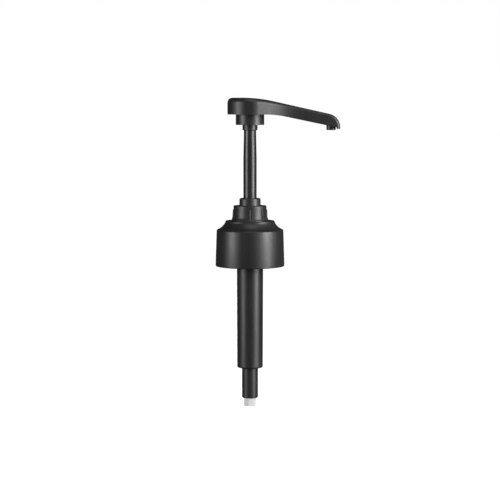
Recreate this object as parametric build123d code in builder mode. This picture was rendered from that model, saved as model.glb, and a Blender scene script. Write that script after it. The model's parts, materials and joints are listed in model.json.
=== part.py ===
"""Hand-operated condiment pump for a 38 mm bottle neck, in millimetres.

+Z is up and +X is the way the spout points. The origin is on the pump axis, at the underside of
the neck gasket, where the bottle's lip seats. The plunger is modelled at the top of its stroke.
"""

from build123d import *

import os
from math import cos, radians, sin, sqrt, tan

# --- Clearances, each on the radius or across a face
press_gap = 0.02
slide_gap = 0.05
seat_gap = 0.05
free_gap = 0.1

# --- Small edges that several pieces share
edge_break = 0.3
lead_in = 0.5

# --- Closure and bottle neck
thread_root_radius = 19.0
thread_depth = 1.2
thread_pitch = 25.4 / 6
thread_turns = 1.5
thread_start = 4.2
thread_crest_width = 0.9
thread_foot_width = 2.6
thread_bite = 0.3
neck_depth = 18.7
closure_wall = 2.43
closure_draft = 0.75
closure_round = 0.45
gasket_thickness = 1.2
gasket_edge_gap = 0.3
shoulder_rise = 0.65
shoulder_ledge = 0.45
crown_rise = 5.85
crown_wall = 2.1
crown_plate = 2.0
crown_room = 2.55
cove_radius = 9.0

# --- Pump cylinder
bore_radius = 6.7
cylinder_wall = 1.52
cylinder_draft = 0.23
flange_thickness = 1.6
flange_edge = 1.8
closure_play = 0.2
cup_depth = 4.8
cup_ledge = 0.6
cup_wall = 1.65
floor_thickness = 1.4
floor_round = 0.9
vent_radius = 0.6
vent_drop = 1.8

# --- Inlet valve and dip tube
inlet_ball_radius = 3.175
inlet_throat_radius = 1.9
inlet_throat_length = 1.5
inlet_cone_radius = 3.9
inlet_lift = 2.5
cage_wall = 0.8
cage_clearance = 0.3
cage_bar = 1.0
cage_hole_radius = 1.5
cage_flange = 1.2
cage_slot_width = 2.4
cage_slots = 4
dip_radius = 3.74
dip_wall = 0.9
dip_exposed = 5.1
nipple_wall = 1.24
nipple_chamfer = 0.4
nipple_length = 18.95

# --- Lock collar, with its bush and wiper
seat_ledge = 0.5
shank_wall = 1.6
shank_gap = 0.15
shank_seal = 0.8
snap_height = 0.3
snap_length = 1.0
nut_ledge = 1.4
nut_height = 9.35
nut_draft = 0.2
nut_foot = 1.1
nut_foot_height = 1.5
rib_count = 8
rib_height = 0.33
rib_width = 0.9
rib_drop = 2.2
rib_bite = 1.0
ring_wall = 1.46
ring_draft = 0.05
ring_height = 4.6
ring_round = 0.7
throat_gap = 0.42
throat_floor_gap = 0.6
neck_bore_gap = 0.2
bush_length = 7.1
wiper_thickness = 2.6
wiper_lip = 0.8

# --- Stem and piston
stroke = 49.5
stop_gap = 0.32
stem_radius = 4.12
stem_taper = 0.36
stem_bore = 2.4
stem_parallel = 46.0
spigot_step = 0.41
spigot_length = 11.4
delivery_ball_radius = 1.984
delivery_bore = 1.2
delivery_cone = 0.9
delivery_lift = 2.0
carrier_spigot = 8.0
carrier_flange = 2.0
carrier_edge_gap = 0.5
carrier_hub_radius = 3.6
carrier_tail_radius = 3.0
carrier_tail_length = 5.0
seal_length = 7.0
seal_hub_wall = 1.0
seal_web = 0.8
seal_lip = 0.75
seal_land = 0.7
seal_setback = 0.2
seal_flare = 0.3
nut_thickness = 3.0
nut_pilot_length = 3.0
nut_edge_gap = 0.8
nut_pilot_taper = 0.4
stop_cross = 1.0
stop_length = 4.0

# --- Return spring
spring_wire = 1.2
spring_coils = 12
spring_spare = 4.45
spring_guide_gap = 0.3

# --- Head: hood, core, spout tube and nozzle
head_radius = 13.9
shell_wall = 1.6
edge_round = 2.4
skirt_wall = 1.64
skirt_gap = 0.6
skirt_depth = 6.4
collar_wall = 1.29
collar_drop = 3.35
core_plate = 1.6
core_roof = 1.2
port_wall = 1.03
port_length = 9.0
port_bore_start = 5.5
spout_reach = 49.95
tube_radius = 2.5
tube_wall = 0.75
tube_room_below = 0.4
tube_room_above = 0.3
saddle_count = 3
saddle_spacing = 11.5
saddle_first = 17.5
saddle_thickness = 1.2
nozzle_step = 0.42
nozzle_bore = 1.75
nozzle_drop = 2.35
nozzle_spigot = 4.0
nozzle_spigot_wall = 0.7
nozzle_side_gap = 0.36
nozzle_front_gap = 1.04
tip_round = 8.5
lip_drop = 0.85
lip_ledge = 0.9
top_droop = 12.7
top_bend_start = -5.0
top_bend_length = 20.0
edge_droop = 11.9
edge_bend_start = 10.0
edge_bend_length = 11.0
flank_turn = 12.0
arm_neck = 33.0
arm_taper = 1.5

# --- Radii that follow from the bore and the stem
cylinder_radius = bore_radius + cylinder_wall
pocket_radius = bore_radius + seat_ledge
shank_radius = pocket_radius + shank_wall
cup_bore = shank_radius + shank_gap
cup_radius = cup_bore + cup_wall
crown_radius = cup_radius + crown_room + crown_wall
closure_radius = thread_root_radius + closure_wall
thread_crest_radius = thread_root_radius - thread_depth
flange_radius = thread_root_radius - flange_edge
gasket_radius = thread_crest_radius - gasket_edge_gap
nut_radius = shank_radius + nut_ledge
spigot_radius = stem_radius - stem_taper - spigot_step
nozzle_radius = tube_radius + nozzle_step
collar_radius = spigot_radius + press_gap + collar_wall
throat_radius = collar_radius + throat_gap
ring_radius = throat_radius + ring_wall
skirt_bore = ring_radius + skirt_gap
skirt_radius = skirt_bore + skirt_wall
nipple_radius = dip_radius + press_gap + nipple_wall
cage_bore = inlet_ball_radius + cage_clearance
cage_radius = cage_bore + cage_wall
spring_radius = cage_radius + spring_guide_gap + spring_wire / 2

# --- Heights, from the gasket's underside
flange_top = gasket_thickness + flange_thickness
ceiling = flange_top + closure_play
shoulder = ceiling + shoulder_rise
crown_top = shoulder + crown_rise
cup_floor = flange_top - cup_ledge
cup_top = cup_floor + cup_depth
shank_bottom = cup_floor + shank_seal
bush_top = cup_floor + bush_length
pocket_top = bush_top + wiper_thickness
nut_top = crown_top + nut_height
ring_top = nut_top + ring_height
piston_top = cup_floor - free_gap
seal_top = piston_top - carrier_flange
seal_bottom = seal_top - seal_length - 2 * seat_gap
piston_nut_bottom = seal_bottom - nut_thickness
spring_compressed = (spring_coils + 1) * spring_wire + spring_spare
spring_seat = piston_nut_bottom - stroke - spring_compressed
floor_top = spring_seat - cage_flange
cylinder_bottom = floor_top - floor_thickness
nipple_bottom = cylinder_bottom - nipple_length
inlet_throat_top = floor_top - (inlet_cone_radius - inlet_throat_radius)
inlet_throat_bottom = inlet_throat_top - inlet_throat_length
inlet_ball_height = inlet_throat_top - inlet_throat_radius + inlet_ball_radius * sqrt(2)
cage_roof = inlet_ball_height + inlet_ball_radius + inlet_lift
delivery_seat = piston_top + carrier_spigot
delivery_ball_height = (
    delivery_seat - delivery_cone - delivery_bore + delivery_ball_radius * sqrt(2)
)
stop_bottom = delivery_ball_height + delivery_ball_radius + delivery_lift
skirt_bottom = nut_top + stroke + stop_gap
collar_bottom = skirt_bottom - collar_drop
throat_floor = collar_bottom - stroke - throat_floor_gap
head_bottom = skirt_bottom + skirt_depth
stem_top = collar_bottom + spigot_length

# --- The head's side view: its top and its lower edge each bend down once, then run straight
top_angle = radians(top_droop)
edge_angle = radians(edge_droop)
top_bend_radius = top_bend_length / sin(top_angle)
edge_bend_radius = edge_bend_length / sin(edge_angle)
top_bend_end = top_bend_start + top_bend_length
edge_bend_end = edge_bend_start + edge_bend_length


def top_drop(x):
    """How far the straight part of the head's top is below its highest level at x."""
    return top_bend_radius * (1 - cos(top_angle)) + tan(top_angle) * (x - top_bend_end)


def edge_height(x):
    """Height of the straight part of the head's lower edge at x."""
    bend = edge_bend_radius * (1 - cos(edge_angle))
    return head_bottom - bend - tan(edge_angle) * (x - edge_bend_end)


tube_end = spout_reach - nozzle_radius - free_gap - tube_radius * sin(edge_angle)
arm_height = (
    shell_wall / cos(top_angle)
    + tube_room_above
    + 2 * tube_radius / cos(edge_angle)
    + tube_room_below
)
head_top = edge_height(tube_end) + arm_height + top_drop(tube_end)
tip = spout_reach + nozzle_radius + nozzle_front_gap + shell_wall
tip_centre_x = tip - tip_round
tip_centre_z = head_top - top_drop(tip_centre_x) - tip_round / cos(top_angle)
lip_inner = tip - shell_wall - lip_ledge
lip_bottom = edge_height(tip) - lip_drop
tube_rise = tube_room_below + tube_radius / cos(edge_angle)
tube_root_height = edge_height(0) + tube_rise
nozzle_bottom = edge_height(spout_reach) - nozzle_drop
arm_tip_half_width = nozzle_radius + nozzle_side_gap + shell_wall
arm_neck_half_width = arm_tip_half_width + tan(radians(arm_taper)) * (spout_reach - arm_neck)
tube_plane = Plane(
    origin=(0, 0, tube_root_height), x_dir=(0, 1, 0), z_dir=(cos(edge_angle), 0, -sin(edge_angle))
)
tube_slope = cos(edge_angle)


def turned(*points):
    """Closed outline of (radius, height) points on the XZ plane, ready to revolve about Z."""
    with BuildSketch(Plane.XZ) as outline:
        with BuildLine():
            Polyline(*points, close=True)
        make_face()
    return outline.sketch


def head_plan(inset):
    """The head seen from above: a round boss whose flanks sweep into the narrow arm."""
    arm_end = tip + head_radius
    taper = radians(arm_taper)
    with BuildSketch() as outline:
        with BuildLine():
            back = CenterArc((0, 0), head_radius - inset, 180, -(90 + flank_turn))
            flank = Spline(
                back @ 1,
                (arm_neck, arm_neck_half_width - inset),
                tangents=(back % 1, (cos(taper), -sin(taper))),
            )
            arm = Line(flank @ 1, flank @ 1 + (arm_end - arm_neck, (arm_neck - arm_end) * tan(taper)))
            Line(arm @ 1, (arm_end, 0))
            mirror(about=Plane.XZ)
        make_face()
    return outline.sketch


def head_side(inset, closed):
    """The head seen from the side, its top and tip moved in by inset.

    A closed outline ends at the lower edge. An open one runs on below it, to cut a hollow.
    """
    below = lip_bottom - head_radius
    with BuildSketch(Plane.XZ) as outline:
        with BuildLine():
            back = Line((-2 * head_radius, head_top - inset), (top_bend_start, head_top - inset))
            bend = JernArc(back @ 1, (1, 0), top_bend_radius - inset, -top_droop)
            nose = CenterArc(
                (tip_centre_x, tip_centre_z), tip_round - inset, 90 - top_droop, top_droop - 90
            )
            Line(bend @ 1, nose @ 0)
            if closed:
                Polyline(nose @ 1, (tip, lip_bottom), (lip_inner, edge_height(lip_inner)))
                edge = Line((-2 * head_radius, head_bottom), (edge_bend_start, head_bottom))
                turn = JernArc(edge @ 1, (1, 0), edge_bend_radius, -edge_droop)
                Line(turn @ 1, (lip_inner, edge_height(lip_inner)))
                Line(back @ 0, edge @ 0)
            else:
                Polyline(nose @ 1, (tip - inset, below), (-2 * head_radius, below), back @ 0)
        make_face()
    return outline.sketch


def head_hollow(inset):
    """Solid that fills the hood to within inset of its outside, and runs on below it."""
    with BuildPart() as hollow:
        extrude(head_side(inset, False), amount=2 * head_radius, both=True)
        with BuildSketch(Plane.XY.offset(lip_bottom - 2 * head_radius)):
            add(head_plan(inset))
        extrude(amount=4 * head_radius + head_top - lip_bottom, mode=Mode.INTERSECT)
    return hollow.part


def tube_axis_height(x):
    """Height of the spout tube's axis at x."""
    return tube_root_height - tan(edge_angle) * x


def head_saddles():
    """Webs across the arm, from the hood's roof down to the tube that they hold."""
    with BuildPart() as webs:
        for number in range(saddle_count):
            web_x = saddle_first + number * saddle_spacing
            with BuildSketch(Plane.XY.offset(tube_axis_height(web_x))):
                with Locations((web_x, 0)):
                    Rectangle(saddle_thickness, 2 * head_radius)
            extrude(amount=head_top - tube_axis_height(web_x))
        add(head_hollow(shell_wall - seat_gap), mode=Mode.INTERSECT)
        with BuildSketch(tube_plane):
            Circle(tube_radius + seat_gap)
        extrude(amount=tube_end / tube_slope, mode=Mode.SUBTRACT)
    return webs.part


# --- Closure cap: smooth side, coved shoulder, and a single-start thread inside
with BuildPart() as closure_cap:
    with BuildSketch(Plane.XZ):
        with BuildLine():
            ledge = (closure_radius - closure_draft - shoulder_ledge, shoulder + shoulder_ledge)
            brow = (crown_radius, crown_top - 2 * closure_round)
            Polyline(
                (thread_root_radius, -neck_depth),
                (closure_radius - closure_round, -neck_depth),
                (closure_radius, closure_round - neck_depth),
                (closure_radius - closure_draft, shoulder),
                ledge,
            )
            RadiusArc(ledge, brow, cove_radius)
            Polyline(
                brow,
                (crown_radius - closure_round, crown_top),
                (shank_radius + 2 * shank_gap, crown_top),
                (shank_radius + 2 * shank_gap, crown_top - crown_plate),
                (crown_radius - crown_wall, crown_top - crown_plate),
                (crown_radius - crown_wall, ceiling),
                (thread_root_radius, ceiling),
                (thread_root_radius, -neck_depth),
            )
        make_face()
    revolve(axis=Axis.Z)
    thread_height = thread_turns * thread_pitch
    thread_path = Helix(
        thread_pitch, thread_height, thread_root_radius, center=(0, 0, -thread_start - thread_height)
    )
    with BuildSketch(Plane(thread_path @ 0, x_dir=(1, 0, 0), z_dir=thread_path % 0)):
        with BuildLine():
            Polyline(
                (thread_bite, -thread_foot_width / 2),
                (-thread_depth, -thread_crest_width / 2),
                (-thread_depth, thread_crest_width / 2),
                (thread_bite, thread_foot_width / 2),
                close=True,
            )
        make_face()
    sweep(path=thread_path, is_frenet=True)
closure_cap.part.label = "closure_cap"

# --- Neck gasket: flat washer between the cylinder's flange and the bottle's lip
with BuildPart() as neck_gasket:
    with BuildSketch():
        Circle(gasket_radius)
        Circle(cylinder_radius + free_gap, mode=Mode.SUBTRACT)
    extrude(amount=gasket_thickness - seat_gap)
neck_gasket.part.label = "neck_gasket"

# --- Pump cylinder: snap cup, flange, bore, inlet seat and dip tube nipple in one moulding
with BuildPart() as pump_cylinder:
    foot_radius = cylinder_radius - cylinder_draft
    groove_bottom = shank_bottom + snap_length
    groove_radius = cup_bore + snap_height
    revolve(
        turned(
            (cup_bore, cup_top),
            (cup_radius, cup_top),
            (cup_radius, flange_top),
            (flange_radius, flange_top),
            (flange_radius, gasket_thickness),
            (cylinder_radius, gasket_thickness),
            (foot_radius, cylinder_bottom),
            (nipple_radius, cylinder_bottom),
            (nipple_radius, nipple_bottom),
            (dip_radius + press_gap, nipple_bottom),
            (dip_radius + press_gap, inlet_throat_bottom),
            (inlet_throat_radius, inlet_throat_bottom),
            (inlet_throat_radius, inlet_throat_top),
            (inlet_cone_radius, floor_top),
            (bore_radius, floor_top),
            (bore_radius, cup_floor),
            (cup_bore, cup_floor),
            (cup_bore, groove_bottom),
            (groove_radius, groove_bottom + snap_height),
            (groove_radius, groove_bottom + snap_length),
            (cup_bore, groove_bottom + snap_length + snap_height),
        ),
        axis=Axis.Z,
    )
    floor_edge = pump_cylinder.edges().filter_by_position(
        Axis.Z, cylinder_bottom - seat_gap, cylinder_bottom + seat_gap
    )
    fillet(floor_edge.sort_by(SortBy.LENGTH)[-1], radius=floor_round)
    nipple_edges = pump_cylinder.edges().group_by(Axis.Z)[0]
    chamfer(nipple_edges.sort_by(SortBy.LENGTH)[-1], length=nipple_chamfer)
    with Locations(Location((0, 0, -vent_drop), (0, 90, 0))):
        Cylinder(vent_radius, 2 * cylinder_radius, mode=Mode.SUBTRACT)
pump_cylinder.part.label = "pump_cylinder"

# --- Dip tube: pressed up the nipple, cut short below it
with BuildPart() as dip_tube:
    dip_bottom = nipple_bottom - dip_exposed
    with BuildSketch(Plane.XY.offset(dip_bottom)):
        Circle(dip_radius)
        Circle(dip_radius - dip_wall, mode=Mode.SUBTRACT)
    extrude(amount=inlet_throat_bottom - seat_gap - dip_bottom)
dip_tube.part.label = "dip_tube"

# --- Inlet ball, resting on the cone in the cylinder's floor
with BuildPart() as inlet_ball:
    with Locations((0, 0, inlet_ball_height)):
        Sphere(inlet_ball_radius)
inlet_ball.part.label = "inlet_ball"

# --- Inlet cage: holds the ball over its seat, guides the spring and takes its thrust
with BuildPart() as inlet_cage:
    revolve(
        turned(
            (cage_bore, floor_top + seat_gap),
            (bore_radius - free_gap, floor_top + seat_gap),
            (bore_radius - free_gap, spring_seat),
            (cage_radius, spring_seat),
            (cage_radius, cage_roof + cage_bar - lead_in),
            (cage_radius - lead_in, cage_roof + cage_bar),
            (cage_hole_radius, cage_roof + cage_bar),
            (cage_hole_radius, cage_roof),
            (cage_bore, cage_roof),
        ),
        axis=Axis.Z,
    )
    slot_height = cage_roof - spring_seat - 2 * cage_bar
    with Locations((0, 0, spring_seat + cage_bar + slot_height / 2)):
        with PolarLocations(cage_radius, cage_slots):
            Box(4 * cage_wall, cage_slot_width, slot_height, mode=Mode.SUBTRACT)
inlet_cage.part.label = "inlet_cage"

# --- Return spring: open coil between the cage flange and the piston nut, ends ground flat
with BuildPart() as return_spring:
    spring_top = piston_nut_bottom - seat_gap
    spring_foot = spring_seat + seat_gap
    coil_pitch = (spring_top - spring_foot) / spring_coils
    coil = Helix(coil_pitch, spring_top - spring_foot, spring_radius, center=(0, 0, spring_foot))
    with BuildSketch(Plane(coil @ 0, x_dir=(1, 0, 0), z_dir=coil % 0)):
        Circle(spring_wire / 2)
    sweep(path=coil, is_frenet=True)
    split(bisect_by=Plane.XY.offset(spring_foot), keep=Keep.TOP)
    split(bisect_by=Plane.XY.offset(spring_top), keep=Keep.BOTTOM)
return_spring.part.label = "return_spring"

# --- Lock collar: ribbed nut, wiping ring and the shank that snaps into the cylinder's cup
with BuildPart() as lock_collar:
    nut_foot_radius = nut_radius + nut_draft
    bead_radius = shank_radius + snap_height
    with BuildSketch(Plane.XZ):
        with BuildLine():
            foot_top = (nut_foot_radius, crown_top + seat_gap + nut_foot_height)
            foot_edge = (nut_foot_radius + nut_foot, crown_top + 3 * seat_gap)
            RadiusArc(foot_top, foot_edge, -2 * nut_foot_height)
            Polyline(
                foot_edge,
                (nut_foot_radius + nut_foot, crown_top + seat_gap),
                (shank_radius, crown_top + seat_gap),
                (shank_radius, groove_bottom + snap_length + snap_height),
                (bead_radius, groove_bottom + snap_length),
                (bead_radius, groove_bottom + snap_height),
                (shank_radius, groove_bottom),
                (shank_radius, shank_bottom),
                (pocket_radius, shank_bottom),
                (pocket_radius, pocket_top),
                (stem_radius + neck_bore_gap, pocket_top),
                (stem_radius + neck_bore_gap, throat_floor),
                (throat_radius, throat_floor),
                (throat_radius, ring_top),
                (ring_radius, ring_top),
                (ring_radius + ring_draft, nut_top),
                (nut_radius, nut_top),
                foot_top,
            )
        make_face()
    revolve(axis=Axis.Z)
    ring_edges = lock_collar.edges().group_by(Axis.Z)[-1].sort_by(SortBy.LENGTH)
    fillet(ring_edges[-1], radius=ring_round)
    throat_edges = lock_collar.edges().group_by(Axis.Z)[-1].sort_by(SortBy.LENGTH)
    chamfer(throat_edges[0], length=edge_break)
    with BuildSketch(Plane.XZ) as rib_side:
        with BuildLine():
            Polyline(
                (nut_radius - rib_bite, nut_top - rib_drop),
                (nut_radius, nut_top - rib_drop),
                (nut_radius + rib_height, nut_top - rib_drop - 2 * rib_height),
                (nut_foot_radius + rib_height, crown_top + nut_foot_height),
                (nut_foot_radius + nut_foot, crown_top + 3 * seat_gap),
                (nut_radius - rib_bite, crown_top + 3 * seat_gap),
                close=True,
            )
        make_face()
    rib = extrude(rib_side.sketch, amount=rib_width / 2, both=True, mode=Mode.PRIVATE)
    with PolarLocations(0, rib_count):
        add(rib)
lock_collar.part.label = "lock_collar"

# --- Stem bush: guides the stem in the collar's shank and stops the piston at the top
with BuildPart() as stem_bush:
    revolve(
        turned(
            (stem_radius + slide_gap, cup_floor),
            (pocket_radius - free_gap, cup_floor),
            (pocket_radius - free_gap, bush_top - lead_in),
            (pocket_radius - free_gap - lead_in, bush_top),
            (stem_radius + slide_gap + lead_in, bush_top),
            (stem_radius + slide_gap, bush_top - lead_in),
        ),
        axis=Axis.Z,
    )
stem_bush.part.label = "stem_bush"

# --- Stem wiper: soft lip ring above the bush
with BuildPart() as stem_wiper:
    wiper_bottom = bush_top + seat_gap
    wiper_top = pocket_top - seat_gap
    wiper_bore = stem_radius + slide_gap
    revolve(
        turned(
            (wiper_bore + wiper_lip, wiper_bottom),
            (pocket_radius - free_gap, wiper_bottom),
            (pocket_radius - free_gap, wiper_top),
            (wiper_bore + 2 * wiper_lip, wiper_top),
            (wiper_bore + wiper_lip, wiper_top - wiper_lip),
            (wiper_bore + edge_break, wiper_top),
            (wiper_bore, wiper_top - edge_break),
            (wiper_bore, wiper_top - 2 * wiper_lip),
        ),
        axis=Axis.Z,
    )
stem_wiper.part.label = "stem_wiper"

# --- Collar gasket: ring under the shank, on the floor of the cylinder's cup
with BuildPart() as collar_gasket:
    with BuildSketch(Plane.XY.offset(cup_floor)):
        Circle(cup_bore - free_gap)
        Circle(pocket_radius, mode=Mode.SUBTRACT)
    extrude(amount=shank_seal - seat_gap)
collar_gasket.part.label = "collar_gasket"

# --- Piston carrier: valve seat in the stem's foot, flange over the seal, tail for the nut
with BuildPart() as piston_carrier:
    carrier_flange_radius = bore_radius - carrier_edge_gap
    tail_bottom = seal_bottom - carrier_tail_length
    revolve(
        turned(
            (delivery_bore, tail_bottom),
            (carrier_tail_radius - edge_break, tail_bottom),
            (carrier_tail_radius, tail_bottom + edge_break),
            (carrier_tail_radius, seal_bottom),
            (carrier_hub_radius, seal_bottom),
            (carrier_hub_radius, seal_top),
            (carrier_flange_radius, seal_top),
            (carrier_flange_radius, piston_top),
            (stem_bore - press_gap, piston_top),
            (stem_bore - press_gap, delivery_seat),
            (delivery_bore + delivery_cone, delivery_seat),
            (delivery_bore, delivery_seat - delivery_cone),
        ),
        axis=Axis.Z,
    )
piston_carrier.part.label = "piston_carrier"

# --- Piston seal: double-lipped soft ring, wiping the bore both ways
with BuildPart() as piston_seal:
    seal_bore = carrier_hub_radius + slide_gap
    seal_rim = bore_radius - slide_gap
    hub = seal_bore + seal_hub_wall
    lip = seal_rim - seal_lip
    waist = seal_rim - seal_lip / 2
    middle = seal_top - seat_gap - seal_length / 2
    lip_top = middle + seal_length / 2 - seal_setback
    upper = [
        (waist, middle),
        (waist, middle + seal_web),
        (seal_rim, lip_top - seal_land),
        (seal_rim, lip_top),
        (lip, lip_top),
        (lip - seal_flare, middle + seal_web),
        (hub, middle + seal_web),
        (hub, middle + seal_length / 2),
        (seal_bore, middle + seal_length / 2),
        (seal_bore, middle),
    ]
    lower = [(radius, 2 * middle - height) for radius, height in reversed(upper[1:-1])]
    revolve(turned(*upper[:-1], *lower), axis=Axis.Z)
piston_seal.part.label = "piston_seal"

# --- Piston nut: clamps the seal and pilots the top of the spring
with BuildPart() as piston_nut:
    pilot_radius = spring_radius - spring_wire / 2 - spring_guide_gap
    pilot_bottom = piston_nut_bottom - nut_pilot_length
    revolve(
        turned(
            (carrier_tail_radius + press_gap, seal_bottom - seat_gap),
            (bore_radius - nut_edge_gap, seal_bottom - seat_gap),
            (bore_radius - nut_edge_gap, piston_nut_bottom),
            (pilot_radius, piston_nut_bottom),
            (pilot_radius - nut_pilot_taper, pilot_bottom),
            (carrier_tail_radius + press_gap, pilot_bottom),
        ),
        axis=Axis.Z,
    )
piston_nut.part.label = "piston_nut"

# --- Delivery ball, resting on the carrier's seat inside the stem
with BuildPart() as delivery_ball:
    with Locations((0, 0, delivery_ball_height)):
        Sphere(delivery_ball_radius)
delivery_ball.part.label = "delivery_ball"

# --- Ball stop: crossed webs pressed into the stem's bore above the ball
with BuildPart() as ball_stop:
    with BuildSketch(Plane.XY.offset(stop_bottom)):
        Circle(stem_bore - press_gap)
    extrude(amount=stop_length)
    with BuildSketch(Plane.XY.offset(stop_bottom)):
        Rectangle(2 * stem_bore, stop_cross)
        Rectangle(stop_cross, 2 * stem_bore)
    extrude(amount=stop_length, mode=Mode.INTERSECT)
ball_stop.part.label = "ball_stop"

# --- Stem: tapered hollow rod, from the piston carrier up into the head's socket
with BuildPart() as stem:
    stem_parallel_top = piston_top + stem_parallel
    revolve(
        turned(
            (stem_bore, piston_top),
            (stem_radius, piston_top),
            (stem_radius, stem_parallel_top),
            (stem_radius - stem_taper, collar_bottom - seat_gap),
            (spigot_radius, collar_bottom - seat_gap),
            (spigot_radius, stem_top - lead_in),
            (spigot_radius - lead_in, stem_top),
            (stem_bore, stem_top),
        ),
        axis=Axis.Z,
    )
stem.part.label = "stem"

# --- Head core: floor of the head, stem socket and spout port, with a skirt over the ring
with BuildPart() as head_core:
    socket_bore = spigot_radius + press_gap
    with BuildSketch(Plane.XY.offset(head_bottom)):
        Circle(head_radius)
    extrude(amount=core_plate)
    with BuildSketch(Plane.XY.offset(collar_bottom)):
        Circle(collar_radius)
    extrude(amount=head_top - collar_bottom)
    with BuildSketch(tube_plane):
        Circle(tube_radius + press_gap + port_wall)
    extrude(amount=port_length / tube_slope)
    add(head_hollow(shell_wall + free_gap), mode=Mode.INTERSECT)
    with BuildSketch(Plane.XY.offset(skirt_bottom)):
        Circle(skirt_radius)
        Circle(skirt_bore, mode=Mode.SUBTRACT)
    extrude(amount=skirt_depth)
    with BuildSketch(Plane.XY.offset(collar_bottom)):
        Circle(socket_bore)
    extrude(amount=head_top - shell_wall - core_roof - collar_bottom, mode=Mode.SUBTRACT)
    with BuildSketch(tube_plane.offset(stem_bore / tube_slope)):
        Circle(tube_radius - tube_wall)
    extrude(amount=port_length / tube_slope, mode=Mode.SUBTRACT)
    with BuildSketch(tube_plane.offset(port_bore_start / tube_slope)):
        Circle(tube_radius + press_gap)
    extrude(amount=head_radius, mode=Mode.SUBTRACT)
    socket_mouth = head_core.edges().group_by(Axis.Z)[0].sort_by(SortBy.LENGTH)
    chamfer(socket_mouth[-1], length=edge_break)
head_core.part.label = "head_core"

# --- Spout tube: straight run inside the arm, from the core's port to the nozzle
with BuildPart() as spout_tube:
    tube_start = port_bore_start + seat_gap
    with BuildSketch(tube_plane.offset(tube_start / tube_slope)):
        Circle(tube_radius)
        Circle(tube_radius - tube_wall, mode=Mode.SUBTRACT)
    extrude(amount=(tube_end - tube_start) / tube_slope)
spout_tube.part.label = "spout_tube"

# --- Outlet nozzle: elbow on the end of the tube, its ring standing proud of the hood's edge
with BuildPart() as outlet_nozzle:
    elbow_height = tube_axis_height(spout_reach)
    with BuildSketch(Plane.XY.offset(nozzle_bottom)):
        with Locations((spout_reach, 0)):
            Circle(nozzle_radius)
    extrude(amount=elbow_height + 2 * nozzle_radius - nozzle_bottom)
    add(head_hollow(shell_wall + free_gap), mode=Mode.INTERSECT)
    with BuildSketch(tube_plane.offset(spout_reach / tube_slope)):
        Circle(tube_radius - tube_wall - press_gap)
    extrude(amount=-(nozzle_radius + nozzle_spigot) / tube_slope)
    with BuildSketch(tube_plane.offset(spout_reach / tube_slope)):
        Circle(tube_radius - tube_wall - press_gap - nozzle_spigot_wall)
    extrude(amount=-(nozzle_radius + nozzle_spigot) / tube_slope, mode=Mode.SUBTRACT)
    with BuildSketch(Plane.XY.offset(nozzle_bottom)):
        with Locations((spout_reach, 0)):
            Circle(nozzle_bore)
    extrude(amount=elbow_height - nozzle_bottom, mode=Mode.SUBTRACT)
    nozzle_mouth = outlet_nozzle.edges().group_by(Axis.Z)[0].sort_by(SortBy.LENGTH)
    chamfer(nozzle_mouth[-1], length=edge_break)
outlet_nozzle.part.label = "outlet_nozzle"

# --- Handle shell: the hood over the whole head, open below, with saddles over the tube
with BuildPart() as handle_shell:
    extrude(head_side(0, True), amount=2 * head_radius, both=True)
    with BuildSketch(Plane.XY.offset(lip_bottom - head_radius)):
        add(head_plan(0))
    extrude(amount=2 * head_radius + head_top - lip_bottom, mode=Mode.INTERSECT)
    upper_edges = handle_shell.edges().filter_by(
        lambda edge: edge.center().Z
        > min(head_bottom, edge_height(edge.center().X)) + arm_height / 2
    )
    rim_edges = upper_edges - upper_edges.filter_by(Axis.Y) - upper_edges.filter_by(Axis.Z)
    tip_corners = handle_shell.edges().filter_by(Axis.Z).group_by(Axis.X)[-1]
    fillet(rim_edges + tip_corners, radius=edge_round)
    add(head_hollow(shell_wall), mode=Mode.SUBTRACT)
    add(head_saddles())
handle_shell.part.label = "handle_shell"

os.makedirs("parts", exist_ok=True)
for piece in (
    handle_shell, head_core, spout_tube, outlet_nozzle, stem, ball_stop, delivery_ball,
    piston_carrier, piston_seal, piston_nut, return_spring, inlet_cage, inlet_ball, pump_cylinder,
    dip_tube, lock_collar, stem_bush, stem_wiper, collar_gasket, neck_gasket, closure_cap,
):
    export_step(piece.part, f"parts/{piece.part.label}.step")
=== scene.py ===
"""Condiment pump dispenser: its looks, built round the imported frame.

The hood with its saddles, the lock collar, the closure and its thread, the return spring and the
dip tube are modelled here over their CAD nodes. Every other CAD node keeps its shape. All pieces
are dressed with procedural finishes.
Sizes and angles inside the piece classes are in millimetres and degrees. Finishes and the studio
use Blender's own unit, the metre.
"""

import json
import logging
import math
from collections.abc import Callable
from dataclasses import dataclass
from enum import Enum

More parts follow.
